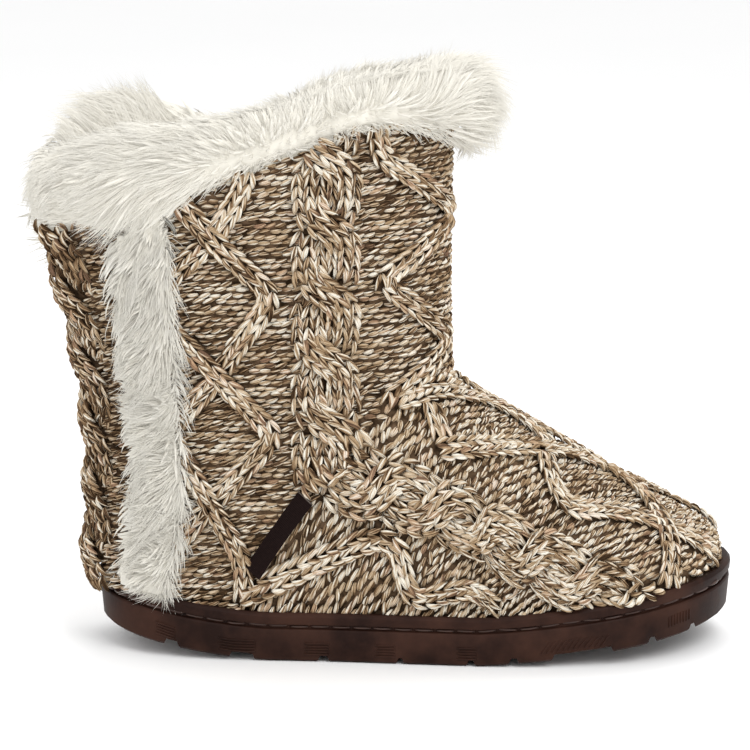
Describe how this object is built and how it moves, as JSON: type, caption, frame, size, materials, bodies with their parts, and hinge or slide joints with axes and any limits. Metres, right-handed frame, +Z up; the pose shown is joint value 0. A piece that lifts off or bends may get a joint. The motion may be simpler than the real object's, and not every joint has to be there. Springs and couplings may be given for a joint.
{
  "type": "boot slipper",
  "caption": "Ankle-high slipper boot with a cable-knit upper, deep fur collar and side strip, on a stitched moulded cup sole.",
  "frame": {"origin": "on the floor, under the middle of the shoe's box", "axes": "+X towards the toe, +Y towards the inner side of the foot, +Z up"},
  "size_m": [0.2806, 0.0968, 0.2326],
  "materials": {
    "sole_rubber": "dark brown moulded rubber, matt with a soft sheen",
    "sock": "short cream pile on a board",
    "knit": "chunky marled yarn in tan, cream and dark brown",
    "pile": "long cream fur pile",
    "strip_pile": "long combed greyish cream fur pile",
    "tab": "dark woven ribbon, bare"
  },
  "bodies": {
    "root": {"outsole": "sole_rubber", "insole": "sock", "upper": "knit", "fur_collar": "pile", "fur_strip": "strip_pile", "label_tab": "tab"}
  },
  "joints": []
}
